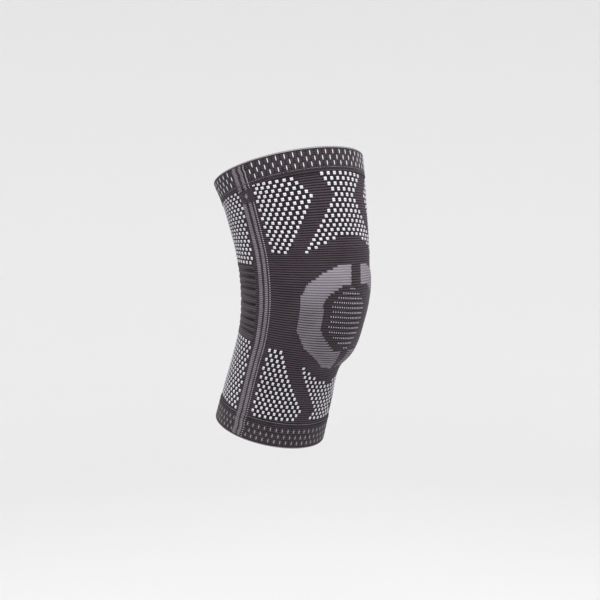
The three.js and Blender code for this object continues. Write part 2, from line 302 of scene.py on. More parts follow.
def add_patch(cloth, angles, levels, outer, inner, v, u=None, tone=None):
    """A closed sheet over a grid of angles and levels, from an inner to an outer lift."""
    rows, columns = angles.shape
    outer = np.broadcast_to(outer, angles.shape)
    size = rows * columns
    top = skin(angles, levels, outer).reshape(-1, 3)
    under = skin(angles, levels, inner).reshape(-1, 3)
    quads, spots = grid_quads(rows, columns)
    number = np.arange(size).reshape(rows, columns)
    rim = np.concatenate([number[0], number[1:, -1], number[-1, -2::-1], number[-2:0:-1, 0]])
    after = np.roll(rim, -1)
    side = np.stack([rim, rim + size, after + size, after], 1)
    side_spots = np.stack([rim, rim, after, after], 1)
    u = angles / math.radians(WALE) if u is None else u
    uv = np.stack(np.broadcast_arrays(u, v), -1).reshape(-1, 2)
    quads = np.vstack([quads, quads[:, ::-1] + size, side])
    spots = np.vstack([spots, spots[:, ::-1], side_spots])
    shade = 0.0 if tone is None else np.tile(tone.ravel(), 2)
    cloth.add(np.vstack([top, under]), quads, uv[spots], shade)


# Section of a raised stitch or rib: place across it, and share of the way up
BAR_SECTION = [
    (-1, None),
    (-1, 0),
    (-0.72, 0.7),
    (-0.3, 1),
    (0.3, 1),
    (0.72, 0.7),
    (1, 0),
    (1, None),
]


def add_bars(
    cloth, angles, levels, half, foot, shoulder, crest, u=None, v_middle=0.0, v_span=0.5, tone=0.0
):
    """Closed ribs or stitches, one for each row of angles; each column is a step along it.

    half is the half height in level, and foot, shoulder and crest are lifts. u and v say
    where the yarn's shading lies: v runs a span either way from its middle.
    """
    shape = angles.shape
    levels, half, foot, shoulder, crest = (
        np.broadcast_to(value, shape) for value in (levels, half, foot, shoulder, crest)
    )
    bars, steps = shape
    sides = len(BAR_SECTION)
    points = np.empty((bars, steps, sides, 3))
    uv = np.empty((bars, steps, sides + 1, 2))
    for k, (across, share) in enumerate(BAR_SECTION):
        lift = foot if share is None else shoulder + (crest - shoulder) * share
        points[:, :, k] = skin(angles, levels + across * half, lift)
        uv[:, :, k, 0] = angles / math.radians(WALE) if u is None else u
        uv[:, :, k, 1] = v_middle + across * v_span
    uv[:, :, sides] = uv[:, :, 0]
    quads, spots = grid_quads(steps, sides, False, True)
    ends = sides // 2 - 1
    cap = np.array([(k, k + 1, sides - 2 - k, sides - 1 - k) for k in range(ends)])
    quads = np.vstack([quads, cap[:, ::-1], cap + (steps - 1) * sides])
    spots = np.vstack([spots, cap[:, ::-1], cap + (steps - 1) * (sides + 1)])
    number = np.arange(bars)[:, None, None]
    all_quads = (quads[None] + number * steps * sides).reshape(-1, 4)
    all_spots = (spots[None] + number * steps * (sides + 1)).reshape(-1, 4)
    cloth.add(points.reshape(-1, 3), all_quads, uv.reshape(-1, 2)[all_spots], tone)


# Raised stitch, seen from above: place along it, share of its height, share of its rise
STITCH_STEPS = [
    (-1, 0.85, 0.1),
    (-0.88, 0.98, 0.8),
    (-0.5, 1, 1),
    (0.5, 1, 1),
    (0.88, 0.98, 0.8),
    (1, 0.85, 0.1),
]
STITCH_SINK = 0.3 * MM


def add_stitches(
    cloth, angle, level, half_angle, half_level, lift, rise, v_middle=0.0, v_span=0.5
):
    """Raised pillows at each angle and level, sunk a little into the face under them."""
    along, height, swell = np.array(STITCH_STEPS).T
    sizes = (angle, level, half_angle, half_level)
    angle, level, half_angle, half_level = (
        np.broadcast_to(value, np.shape(angle))[:, None] for value in sizes
    )
    add_bars(
        cloth,
        angle + along * half_angle,
        level,
        half_level * height,
        foot=lift - STITCH_SINK,
        shoulder=lift,
        crest=lift + rise * swell,
        u=v_middle + v_span * along,
        v_middle=v_middle,
        v_span=v_span,
    )


# Materials


class Graph:
    """Short hand for a material's nodes."""

    def __init__(self, name):
        self.material = bpy.data.materials.new(name)
        self.material.use_nodes = True
        self.tree = self.material.node_tree
        self.shader = self.tree.nodes["Principled BSDF"]

    def fill(self, socket, value):
        if isinstance(value, bpy.types.NodeSocket):
            self.tree.links.new(value, socket)
        else:
            socket.default_value = value

    def node(self, kind, values=(), **settings):
        made = self.tree.nodes.new(kind)
        for key, value in settings.items():
            setattr(made, key, value)
        for socket, value in values:
            self.fill(made.inputs[socket], value)
        return made

    def math(self, operation, *values):
        return self.node("ShaderNodeMath", list(enumerate(values)), operation=operation).outputs[0]

    def mix(self, share, a, b):
        made = self.node("ShaderNodeMix", data_type="RGBA")
        for key, value in (("Factor", share), ("A", a), ("B", b)):
            self.fill(next(s for s in made.inputs if s.name == key and s.enabled), value)
        return next(s for s in made.outputs if s.enabled)

    def wave(self, value, per_unit=1.0):
        """A soft 0 to 1 wave that peaks at whole units."""
        turns = self.math("MULTIPLY", value, 2 * math.pi * per_unit)
        return self.math("MULTIPLY_ADD", self.math("COSINE", turns), 0.5, 0.5)

    def noise(self, scale, detail):
        place = self.node("ShaderNodeTexCoord").outputs["Object"]
        settings = [("Vector", place), ("Scale", scale), ("Detail", detail)]
        made = self.node("ShaderNodeTexNoise", settings)
        return made.outputs["Fac"]


def linear(*rgb):
    """Linear colour with alpha from 0 to 255 sRGB values."""
    parts = []
    for value in rgb:
        share = value / 255
        parts.append(share / 12.92 if value <= 10 else ((share + 0.055) / 1.055) ** 2.4)
    return (*parts, 1.0)


# Fine fuzz and broad uneven patches in the yarn: how much each shades and raises it
FIBRE = {"scale": 2600.0, "detail": 3.0, "shade": 0.5, "relief": 0.8}
PATCHES = {"scale": 55.0, "detail": 2.0, "shade": 0.35}
LOOP_SLANT, LOOP_RELIEF = 0.18, 0.6


def knit_material(
    name, crest, groove_shade, ground_and_painted_light=None, wales=2.0, depth=0.25, sheen=0.15, sharp=1.0, soft=0.25
):
    """Rib knit: light crests and dark grooves by course, stitches by wale, fuzzy yarn.

    The third colour is the one of the face where the piece's tone is 1: the dark knit among the
    white stitches, paler yarn with painted top light on the ring, painted shade in the creases and
    between the cuff's blocks. The second colour is painted shade in the grooves. wales is the loops
    to a wale, depth the bump in millimetres, sharp how narrow the crests are, and soft how much of
    the painted shade follows the loops.
    """
    graph = Graph(name)
    uv = graph.node("ShaderNodeUVMap", uv_map="Knit").outputs[0]
    split = graph.node("ShaderNodeSeparateXYZ", [(0, uv)])
    u, v = split.outputs[0], split.outputs[1]
    rib = graph.math("POWER", graph.wave(v), sharp)
    slant = graph.math("MULTIPLY_ADD", graph.wave(v), LOOP_SLANT, u)
    loop = graph.wave(slant, wales)
    fibre = graph.noise(FIBRE["scale"], FIBRE["detail"])
    patchy = graph.noise(PATCHES["scale"], PATCHES["detail"])
    shade = graph.math("MULTIPLY", rib, graph.math("MULTIPLY_ADD", loop, soft, 1 - soft))
    for uneven, share in ((fibre, FIBRE["shade"]), (patchy, PATCHES["shade"])):
        centred = graph.math("SUBTRACT", uneven, 0.5)
        shade = graph.math("MULTIPLY_ADD", centred, share, shade)
    shade = graph.math("MINIMUM", graph.math("MAXIMUM", shade, 0.0), 1.0)
    # painted shade: the grooves and the gaps between loops take the darker second colour
    colour = graph.mix(shade, groove_shade, crest)
    # where tone is 1 the third colour stands in: painted top light on the ring, painted shade in
    # the creases and between the cuff's blocks, the dark knit among the white stitches elsewhere
    if ground_and_painted_light is not None:
        tone = graph.node("ShaderNodeAttribute", attribute_name="tone").outputs["Fac"]
        colour = graph.mix(tone, colour, ground_and_painted_light)
    graph.tree.links.new(colour, graph.shader.inputs["Base Color"])
    fuzz = graph.math("MULTIPLY", fibre, FIBRE["relief"])
    height = graph.math("MULTIPLY_ADD", loop, LOOP_RELIEF, fuzz)
    settings = [("Strength", 0.6), ("Distance", depth * MM), ("Height", height)]
    bump = graph.node("ShaderNodeBump", settings)
    graph.tree.links.new(bump.outputs[0], graph.shader.inputs["Normal"])
    graph.shader.inputs["Roughness"].default_value = 0.9
    graph.shader.inputs["Specular IOR Level"].default_value = 0.25
    graph.shader.inputs["Sheen Weight"].default_value = sheen
    graph.shader.inputs["Sheen Roughness"].default_value = 0.45
    graph.shader.inputs["Sheen Tint"].default_value = linear(220, 212, 220)
    return graph.material


# Each yarn has the colours of its crests and of its grooves, the darker one painted shade, and a
# third where it has one: the dark knit among the white stitches, paler yarn with painted top light
# on the ring, painted shade in the creases and between the cuff's blocks
DARK = knit_material(
    "charcoal rib knit", linear(75, 64, 72), linear(8, 5, 7), linear(26, 20, 25)
)
# the cuff knit's third colour is painted shade between its raised blocks
CUFF = knit_material(
    "charcoal cuff knit",
    linear(84, 74, 80),
    linear(22, 17, 21),
    linear(14, 10, 13),
    wales=4.0,
    soft=0.6,
)
EDGE = knit_material("light edge yarn", linear(160, 154, 160), linear(92, 86, 92), wales=3.0)
# the ring's third colour is paler yarn with painted top light, taken towards the ring's top
RING = knit_material(
    "grey ring knit", linear(130, 122, 131), linear(26, 22, 26), linear(150, 144, 153), sharp=0.8
)
PANEL = knit_material(
    "fine kneecap knit", linear(64, 54, 61), linear(12, 9, 11), depth=0.12, soft=0.15
)
# the gathered knit's third colour is painted shade in its creases
FOLD = knit_material("gathered knit", linear(82, 71, 76), linear(36, 29, 33), linear(10, 7, 9))
PATCH = knit_material("smooth patch knit", linear(62, 53, 59), linear(40, 33, 38), depth=0.1)
BAND = knit_material("grey band knit", linear(148, 140, 147), linear(48, 42, 48), sharp=0.9)
PIPING = knit_material("stitched line yarn", linear(172, 164, 171), linear(96, 90, 96), wales=1.0)
WHITE = knit_material(
    "white stitch yarn",
    linear(236, 234, 240),
    linear(128, 124, 132),
    wales=1.0,
    depth=0.2,
    sheen=0.2,
    sharp=0.45,
    soft=0.4,
)


def finish_piece(cloth, name, material, slot, *nodes):
    piece = cloth.build(name)
    piece.data.materials.append(material)
    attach(piece, "root")
    if nodes:
        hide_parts(*nodes)
    return piece


# White stitch charts. Columns count half dot periods towards the front and rows run
# downwards. Along the rows, from the first (0) to the last (1):
#   levels: top, bottom, sag between them, tilt at the top and its change, curl at the sides
#   angles: of the middle column at the top, its change, and its bend between
#   step: degrees of a column at the top, and its change
#   round: in place of step, the columns from edge to edge round the back
#   pinch: how far the rearmost columns at the top are drawn in, in degrees
#   first, last, gap: columns of a row, and the half width left dark in its middle
PANELS = {
    "thigh_side": {
        "rows": (0, 16), "middle": 0, "step": (2.777, -0.125), "angles": (41.8, -4.4, 0.1),
        "levels": (0.8759, 0.6498, -0.0237, -0.0011, 0.0045, 0.0078), "pinch": 3.2,
        "first": lambda j: -12 + j % 2, "last": lambda j: 4 - abs(j - 4),
    },
    "thigh_front": {
        "rows": (0, 16), "middle": 5, "step": (2.777, 0.086), "angles": (-1.1, -0.6, 7.6),
        "levels": (0.8808, 0.6576, -0.0517, -0.0035, 0.0002, -0.0045),
        "first": lambda j: 2 - abs(j - 4), "last": lambda j: 8 + abs(j - 4),
        "gap": lambda j: 6 + 3 * (j - 13) if j > 12 else 0,
    },
    "thigh_back": {
        "rows": (-1, 16), "middle": 2, "round": 64, "angles": (89.5, 6.0, 3.0),
        "levels": (0.8790, 0.6158, 0.0038, 0.0106, -0.0043, 0),
        "first": lambda j: -62 + j % 2, "last": lambda j: 2 + j % 2,
    },
    "calf_side": {
        "rows": (-1, 14), "middle": 6, "step": (2.777, 0.057), "angles": (44.2, 0.5, 1.9),
        "levels": (0.3301, 0.0834, -0.0608, 0.0007, 0.0026, 0.0003),
        "first": lambda j: -2 - j % 2, "last": lambda j: 14 - abs(12 - j),
    },
    "calf_front": {
        "rows": (-5, 7), "middle": 7, "step": (2.777, 0.055), "angles": (-7.6, -1.7, 1.6),
        "levels": (0.2582, 0.0870, -0.0237, 0, 0.0001, 0.0074),
        "first": lambda j: 3 - abs(j - 5), "last": lambda j: 11 + abs(j - 5),
        "gap": lambda j: {-5: 14, -4: 11, -3: 8, -2: 3}.get(j, 0),
    },
    "calf_back": {
        "rows": (-2, 13), "middle": 2, "round": 60, "angles": (95.5, -1.1, -1.7),
        "levels": (0.3377, 0.0822, -0.0497, 0.012, 0.004, 0),
        "first": lambda j: -58 - j % 2, "last": lambda j: 2 + j % 2,
    },
}
# Charts repeated on the medial side: degrees of the mirror line, and the first column kept
MIRRORED = {"thigh_side": (0, -12), "calf_side": (-7.6, 2)}
# Columns back from a chart's middle where its pinch starts, and over how many it grows
PINCH_FROM, PINCH_OVER = 4, 8


def site_at(panel, column, row):
    """Angle in degrees, level and column step of a place in a chart."""
    low, high = panel["rows"]
    t = (row - low) / (high - low)
    between = t * (1 - t)
    top, bottom, sag, tilt, tilt_change, curl = panel["levels"]
    start, change, bend = panel["angles"]
    middle = start + change * t + bend * between
    away = column - panel["middle"]
    level = top + (bottom - top) * t + sag * between
    if "round" in panel:
        step = 2 * (180 - middle) / panel["round"]
        level += (tilt + tilt_change * t) * np.sin(-np.pi * away / panel["round"])
    else:
        step = panel["step"][0] + panel["step"][1] * t
        level += (tilt + tilt_change * t) * away / 10 + curl * (away / 10) ** 2
    beyond = max(-away - PINCH_FROM, 0) / PINCH_OVER
    pinch = panel.get("pinch", 0) * (1 - t) ** 2.5 * beyond**2 if t < 1 else 0
    return middle - away * step - pinch, level, step


def panel_sites():
    """Cells of the charts: angle, level, half angle, row pitch, and 1 where the cell is white."""
    cells = []
    for name, panel in PANELS.items():
        low, high = panel["rows"]
        for row in range(low, high + 1):
            first, last = panel["first"](row), panel["last"](row)
            gap = panel.get("gap", lambda row: 0)(row)
            for column in range(first, last + 1):
                if gap and abs(column - panel["middle"]) < gap:
                    continue
                angle, level, step = site_at(panel, column, row)
                above, below = (site_at(panel, column, row + k)[1] for k in (-0.5, 0.5))
                pitch = above - below
                white = (column + row) % 2 == 0
                cells.append((angle, level, step / 2, pitch, white))
                line, kept = MIRRORED.get(name, (0, last + 1))
                if column >= kept:
                    cells.append((2 * line - angle, level, step / 2, pitch, white))
    return np.array(cells)


CELLS = panel_sites()
# Half height of a cell's dark ground as a share of its row, a little over half to join up
CELL_REACH = 0.52


def dotted(angles, levels):
    """1 where the face's grid lies among the white stitches, else 0."""
    shade = np.zeros((len(levels), len(angles)))
    spacing = 360 / len(angles)
    for angle, level, half, pitch, _ in CELLS:
        reach = pitch * CELL_REACH
        rows = slice(*np.searchsorted(levels, (level - reach, level + reach)))
        first = math.ceil((angle - half) / spacing - 0.01)
        last = math.floor((angle + half) / spacing + 0.01)
        for column in range(first, last + 1):
            shade[rows, column % len(angles)] = 1
    return shade


# Sleeve tube

# The panel behind the knee: where it lies in degrees and levels, how wide its edges fade,
# and how far the tube dips under it
BACK_START = 90
BACK_TOP, BACK_BOTTOM = 0.607, 0.35
BACK_FADE = {"degrees": 5, "level": 0.018}
BACK_DIP = 1.8 * MM
# Dark yarn beside the seams
SEAM_SHADE = 0.85
SEAM_SHADE_REACH = {"thigh": 2.2 * MM, "calf": 2.0 * MM}


def smooth_step(value):
    """0 up to 0 and 1 from 1, with a smooth climb between."""
    t = np.clip(value, 0, 1)
    return t * t * (3 - 2 * t)


def back_share(angles, levels):
    """1 on the panel behind the knee, falling to 0 at its edges."""
    around = np.degrees(angles) % 360
    side = np.minimum(around - BACK_START, 360 - BACK_START - around) / BACK_FADE["degrees"]
    height = np.minimum(levels - BACK_BOTTOM, BACK_TOP - levels) / BACK_FADE["level"]
    return smooth_step(side) * smooth_step(height)


def make_tube():
    clear = SEAM_WIDTH / 2
    low, high = climb(CALF_SEAM, clear), climb(THIGH_SEAM, -clear)
    courses = np.arange(course_at(low), course_at(high), 1 / ROWS_PER_COURSE)
    outer = level_at(courses)
    inner = np.linspace(outer[-1], outer[0], INNER_ROWS)
    angles = np.arange(WALES) * (2 * np.pi / WALES)
    tone = dotted(angles, outer)
    tone[outer > climb(THIGH_SEAM, -SEAM_SHADE_REACH["thigh"])] = SEAM_SHADE
    tone[outer < climb(CALF_SEAM, SEAM_SHADE_REACH["calf"])] = SEAM_SHADE
    ribs = np.cos(2 * np.pi * courses)[:, None] * (1 - 0.6 * tone)
    lift = RIB_RISE * ribs - BACK_DIP * back_share(angles[None, :], outer[:, None])
    cloth = Cloth()
    add_wall(cloth, outer, lift, tone, inner, -KNIT_WALL)
    return finish_piece(cloth, "knit_sleeve", DARK, "dark_knit", "sleeve_tube")


# Width of a white stitch as a share of its column's, and half height as a share of its row's
STITCH_SHARES = {"thigh": (0.89, 0.35), "calf": (0.85, 0.36)}
STITCH_LIFT, STITCH_RISE = 0.1 * MM, 0.5 * MM


def make_white_stitches():
    pieces = []
    angle, level, half, pitch = CELLS[CELLS[:, 4] > 0, :4].T
    for name, (width, height) in STITCH_SHARES.items():
        chosen = (level > 0.5) == (name == "thigh")
        cloth = Cloth()
        add_stitches(
            cloth,
            np.radians(angle[chosen]),
            level[chosen],
            np.radians(half[chosen] * width),
            pitch[chosen] * height,
            STITCH_LIFT,
            STITCH_RISE,
            v_middle=0.5,
            v_span=1.0,
        )
        pieces.append(finish_piece(cloth, f"white_stitches_{name}", WHITE, "piping_yarn"))
    return pieces


# Kneecap ring and its panel

RING_LEVEL = 0.444
RING_TURN = -2
RING_HALF_ANGLE = 52
RING_HALF_HEIGHT = 48.5 * MM
# Height share and angle share of the ring's outer and inner edges, from the top down
RING_OUTER = [
    (1, 0.32),
    (0.855, 0.645),
    (0.685, 0.875),
    (0.47, 0.99),
    (-0.15, 0.985),
    (-0.51, 0.8),
    (-0.96, 0.3),
    (-1, 0.09),
]
RING_INNER = [
    (0.665, 0.3),
    (0.615, 0.39),
    (0.52, 0.55),
    (0.385, 0.635),
    (-0.11, 0.62),
    (-0.33, 0.47),
    (-0.515, 0.3),
]
# Dark bar between the ring's halves: height share, lateral and medial half angles
RING_BAR = [
    (1, 4.7, 8.1),
    (0.65, 8.3, 4.1),
    (-0.52, 7.8, 3.9),
    (-1, 1.8, 4.8),
]
# Degrees of one stitch, to which each rib's ends are rounded
RING_STITCH = 0.9
# Relief: a base at the edges, a crown reached some way in, and the ribs on it
RING_BASE = 0.2 * MM
RING_CROWN = 0.85 * MM
RING_CROWN_REACH = 7 * MM
RING_RIB = 0.45 * MM
RING_RIB_WIDTH = 1.04
RING_RADIUS = 0.065
# How far the ring pales towards its top, partly paler yarn and partly painted top light, from one
# height share over another
RING_TOP_LIGHT_AND_YARN = 0.5
RING_TOP_LIGHT_AND_YARN_FROM, RING_TOP_LIGHT_AND_YARN_OVER = 0.2, 0.7


def outline_angle(outline, height):
    """Degrees from the ring's middle line to an edge at a height share."""
    heights, angles = np.array(outline[::-1]).T
    return np.interp(height, heights, angles) * RING_HALF_ANGLE


def bar_angle(height, side):
    heights, lateral, medial = np.array(RING_BAR[::-1]).T
    return np.interp(height, heights, lateral if side > 0 else medial)


def ring_height(level):
    return (level - RING_LEVEL) * pace(RING_LEVEL) / RING_HALF_HEIGHT


def ring_level(height):
    return climb(RING_LEVEL, height * RING_HALF_HEIGHT)


def make_ring(side, name):
    """One half of the ring, with a rib to each course from the inner edge to the outer."""
    cloth = Cloth()
    share = np.linspace(0, 1, 22)
    inward = np.minimum(share, 1 - share)
    taper = np.clip(inward * 40, 0.55, 1)
    first, last = (course_at(ring_level(height)) for height in (-1.0, 1.0))
    for course in np.arange(math.ceil(first), math.floor(last) + 1):
        level = float(level_at(course))
        height = float(ring_height(level))
        within = RING_INNER[-1][0] < height < RING_INNER[0][0]
        start = float(outline_angle(RING_INNER, height) if within else bar_angle(height, side))
        end = float(outline_angle(RING_OUTER, height))
        start, end = (RING_STITCH * round(value / RING_STITCH) for value in (start, end))
        angles = np.radians(RING_TURN + side * (start + (end - start) * share))
        reach = inward * abs(end - start) * math.radians(1) * RING_RADIUS
        edge = (1 - abs(height)) * RING_HALF_HEIGHT + 2 * MM
        crown = np.sqrt(np.clip(np.minimum(reach, edge) / RING_CROWN_REACH, 0, 1))
        half = float(level_at(course + 0.5) - level_at(course - 0.5)) / 2
        shoulder = RING_BASE + RING_CROWN * crown
        # painted top light, in part: towards the top the ribs take the ring's pale third colour
        add_bars(
            cloth,
            angles[None, :],
            level,
            half * RING_RIB_WIDTH,
            foot=-0.1 * MM,
            shoulder=shoulder[None, :],
            crest=(shoulder + RING_RIB * taper)[None, :],
            tone=RING_TOP_LIGHT_AND_YARN * min(max((height - RING_TOP_LIGHT_AND_YARN_FROM) / RING_TOP_LIGHT_AND_YARN_OVER, 0.0), 1.0),
        )
    return finish_piece(cloth, f"ring_{name}", RING, "ring_knit", f"kneecap_ring_{name}")


KNEECAP_LIFT, KNEECAP_RIB = 0.42 * MM, 0.16 * MM
# How far the panel runs on under the ring, as a height share and in degrees
KNEECAP_UNDER = {"height": 0.03, "degrees": 1.5}


def make_kneecap_panel():
    rows, columns = 140, 46
    bottom = RING_INNER[-1][0] - KNEECAP_UNDER["height"]
    top = RING_INNER[0][0] + KNEECAP_UNDER["height"]
    heights = np.linspace(bottom, top, rows)
    levels = ring_level(heights)[:, None]
    half = outline_angle(RING_INNER, heights) + KNEECAP_UNDER["degrees"]
    share = np.linspace(-1, 1, columns)
    angles = np.radians(RING_TURN + half[:, None] * share[None, :])
    courses = course_at(levels)
    outer = KNEECAP_LIFT + KNEECAP_RIB * np.cos(2 * np.pi * courses)
    cloth = Cloth()
    add_patch(cloth, angles, levels, outer, 0.0, courses)
    return finish_piece(cloth, "kneecap_knit", PANEL, "panel_knit", "kneecap_panel")


# Rows of fine dashes on the kneecap, from the top down: middle angle and count
DASH_ROWS = [
    (4.8, 3),
    (6.0, 9),
    (6.3, 13),
    (6.6, 16),
    (7.0, 17),
    (7.2, 16),
    (7.4, 17),
    (7.4, 16),
    (7.4, 17),
    (6.8, 16),
    (5.0, 13),
    (3.0, 9),
    (1.0, 3),
]
# Level of the top row, levels from row to row, and how many rows the middle ones sag by
DASH_TOP, DASH_PITCH = 0.548, 0.01515
DASH_SAG = 0.55
# Degrees from dash to dash, and levels that a row climbs with each degree from its middle
DASH_STEP = 2.08
DASH_TILT, DASH_MIDDLE = 0.00024, 7
KNEECAP_DASH = {
    "half_width": 0.24 * MM,
    "half_height": 0.7 * MM,
    "lift": 0.45 * MM,
    "rise": 0.25 * MM,
}


def make_kneecap_dashes():
    angle, level = [], []
    for row, (middle, count) in enumerate(DASH_ROWS):
        drop = row - DASH_SAG * math.sin(math.pi * row / (len(DASH_ROWS) - 1))
        for k in range(count):
            degrees = middle + (k - (count - 1) / 2) * DASH_STEP
            angle.append(math.radians(degrees))
            level.append(DASH_TOP - DASH_PITCH * drop + DASH_TILT * (degrees - DASH_MIDDLE))
    angle, level = np.array(angle), np.array(level)
    half_angle = turn(KNEECAP_DASH["half_width"], level)
    half_level = KNEECAP_DASH["half_height"] / pace(level)
    lift, rise = KNEECAP_DASH["lift"], KNEECAP_DASH["rise"]
    cloth = Cloth()
    add_stitches(cloth, angle, level, half_angle, half_level, lift, rise)
    return finish_piece(cloth, "kneecap_dashes", WHITE, "piping_yarn")


# Cuffs, seams and edges

# Each cuff: three rows of dashes as shares of its height from the seam, the half height of a
# dash and how many go round. Beads are the light stitches over its seam, offset from it.
CUFFS = {
    "upper": {
        "seam": THIGH_SEAM,
        "opening": 1.0,
        "rows": (0.3, 0.555, 0.82),
        "half": 2.75 * MM,
        "dashes": 58,
        "dash_yarn": WHITE,
        "beads": {"offset": 2.4 * MM, "pitch": 1.4 * MM, "half": 0.42 * MM, "yarn": PIPING},
    },
    "lower": {
        "seam": CALF_SEAM,
        "opening": 0.0,
        "rows": (0.25, 0.53, 0.79),
        "half": 2.3 * MM,
        "dashes": 60,
        "dash_yarn": PIPING,
        "beads": {"offset": 1.9 * MM, "pitch": 1.2 * MM, "half": 0.45 * MM, "yarn": BAND},
    },
}
DASH_WIDTH = 0.85 * MM
DASH_LIFT, DASH_RISE = 0.05 * MM, 0.35 * MM
# Degrees from the front between which the side bands cross the cuffs, without dashes
BAND_ZONE = (72.5, 88.5)
CUFF_BLOCK = 0.28 * MM
CUFF_RIB = 0.05 * MM
CUFF_STEPS = 12
BEAD_RISE = 0.25 * MM
BEAD_HALF_HEIGHT = 0.35 * MM
# Cord-like roll at an opening: how far it stands past the edge and sinks into the knit
EDGE_PAST, EDGE_SINK = 0.3 * MM, 0.55 * MM
EDGE_RADIUS, EDGE_RIPPLE = 0.75 * MM, 0.16
EDGE_LOOPS = WALES * 2
# Section of a seam: share of its half width, and lift in millimetres
SEAM_PROFILE = [
    (-1.0, -2.2),
    (-1.0, 0.0),
    (-0.75, 0.6),
    (-0.3, 0.95),
    (0.3, 0.95),
    (0.75, 0.6),
    (1.0, 0.0),
    (1.0, -2.2),
]


def make_cuff(name, cuff):
    """Cuff knitted in small blocks, two to a dash pitch, with fine ribs down each block."""
    columns, rows = cuff["dashes"] * CUFF_STEPS, 40
    seam, opening = cuff["seam"], cuff["opening"]
    towards = 1 if opening > seam else -1
    start = float(climb(seam, towards * SEAM_WIDTH / 2))
    share = np.linspace(0, 1, rows)
    levels = start + (opening - start) * share
    pitches = np.arange(columns) / CUFF_STEPS
    near, middle, far = cuff["rows"]
    joints = (
        1.5 * near - 0.5 * middle,
        (near + middle) / 2,
        (middle + far) / 2,
        1.5 * far - 0.5 * middle,
    )
    band = np.interp(share, (0, *joints, 1), (0.1, 1, 2, 3, 4, 4.9))
    block = np.abs(np.sin(2 * np.pi * pitches))[None, :] ** 0.4
    course = np.abs(np.sin(np.pi * band))[:, None] ** 0.35
    fine = CUFF_RIB * np.cos(2 * np.pi * pitches * 6)[None, :]
    swell = block * course
    outer = CUFF_PROUD + CUFF_BLOCK * swell + fine
    # painted shade: the hollows between the raised blocks take the cuff knit's darkest colour
    tone = np.clip(1 - 1.25 * swell, 0, 1)
    inner = np.linspace(opening, start, 5)
    cloth = Cloth()
    add_wall(cloth, levels, outer, tone, inner, CUFF_PROUD - CUFF_WALL)
    return finish_piece(cloth, f"{name}_cuff_knit", CUFF, "cuff_knit", f"{name}_cuff")


def make_cuff_dashes(name, cuff):
    seam, opening = cuff["seam"], cuff["opening"]
    angle, level = [], []
    for row, share in enumerate(cuff["rows"]):
        at = seam + (opening - seam) * share
        for k in range(cuff["dashes"]):
            degrees = 360 * (k + 0.5 * (row % 2)) / cuff["dashes"]
            if not BAND_ZONE[0] < min(degrees, 360 - degrees) < BAND_ZONE[1]:
                angle.append(math.radians(degrees))
                level.append(at)
    angle, level = np.array(angle), np.array(level)
    half_angle = turn(DASH_WIDTH / 2, level)
    half_level = cuff["half"] / float(pace(seam))
    cloth = Cloth()
    lift = CUFF_PROUD + DASH_LIFT
    add_stitches(cloth, angle, level, half_angle, half_level, lift, DASH_RISE)
    return finish_piece(cloth, f"{name}_cuff_dashes", cuff["dash_yarn"], "piping_yarn")


def make_edge(name, cuff):
    """A roll round the opening, with a ripple of loops along it."""
    columns, sides = EDGE_LOOPS * 4, 8
    towards = 1 if cuff["opening"] > cuff["seam"] else -1
    level = float(climb(cuff["opening"], towards * EDGE_PAST))
    around = np.arange(sides) * (2 * np.pi / sides)
    angles = np.arange(columns) * (2 * np.pi / columns)
    swell = EDGE_RADIUS * (1 + EDGE_RIPPLE * np.cos(angles * EDGE_LOOPS))[None, :]
    lifts = CUFF_PROUD - EDGE_SINK + swell * np.sin(around)[:, None]
    levels = level + swell * np.cos(around)[:, None] / float(pace(level))
    cloth = Cloth()
    add_hoop(cloth, levels, lifts)
    return finish_piece(cloth, f"{name}_edge_loops", EDGE, "edge_yarn", f"{name}_edge_welt")


def make_seam(name, cuff):
    shares, lifts = np.array(SEAM_PROFILE).T
    levels = climb(cuff["seam"], shares * (SEAM_WIDTH / 2))[:, None]
    cloth = Cloth()
    add_hoop(cloth, levels, np.tile(lifts[:, None] * MM, WALES * 2))
    return finish_piece(cloth, f"{name}_seam_roll", DARK, "cuff_knit", f"{name}_seam_welt")


def make_seam_stitches(name, cuff):
    beads = cuff["beads"]
    level = float(climb(cuff["seam"], beads["offset"]))
    count = int(2 * math.pi / float(turn(beads["pitch"], level)))
    angle = np.arange(count) * (2 * math.pi / count)
    half_angle = float(turn(beads["half"], level))
    half_level = BEAD_HALF_HEIGHT / float(pace(level))
    cloth = Cloth()
    add_stitches(cloth, angle, level, half_angle, half_level, CUFF_PROUD, BEAD_RISE)
    return finish_piece(cloth, f"{name}_seam_stitches", beads["yarn"], "piping_yarn")


# Side bands, piping and size patch

# Bands by degrees from the front, and rows of points to each stitch along them
BANDS = {
    "rear_band": {"angle": 85.4, "width": 4.4 * MM},
    "front_band": {"angle": 79.5, "width": 3.4 * MM},
}
BAND_ROWS = 4
BAND_PITCH = 1.3 * MM
BAND_COURSES = 1.2
BAND_WALE = 0.6 * MM
BAND_RISE, BAND_STITCH, BAND_SINK = 0.45 * MM, 0.2 * MM, 0.35 * MM
BAND_WAVER = 0.5 * MM
PIPING_ANGLE = 75.7
PIPING_PITCH = 2.1 * MM
PIPING_STITCH = {"half_width": 0.55 * MM, "half_height": 0.68 * MM, "rise": 0.45 * MM}
# Size patch: degrees round the leg, its size, and how far its top lies below the thigh seam
PATCH_ANGLE = 80.8
PATCH_WIDTH, PATCH_HEIGHT, PATCH_DROP = 16 * MM, 11 * MM, 2.5 * MM
PATCH_LIFT, PATCH_RIB = 0.75 * MM, 0.05 * MM


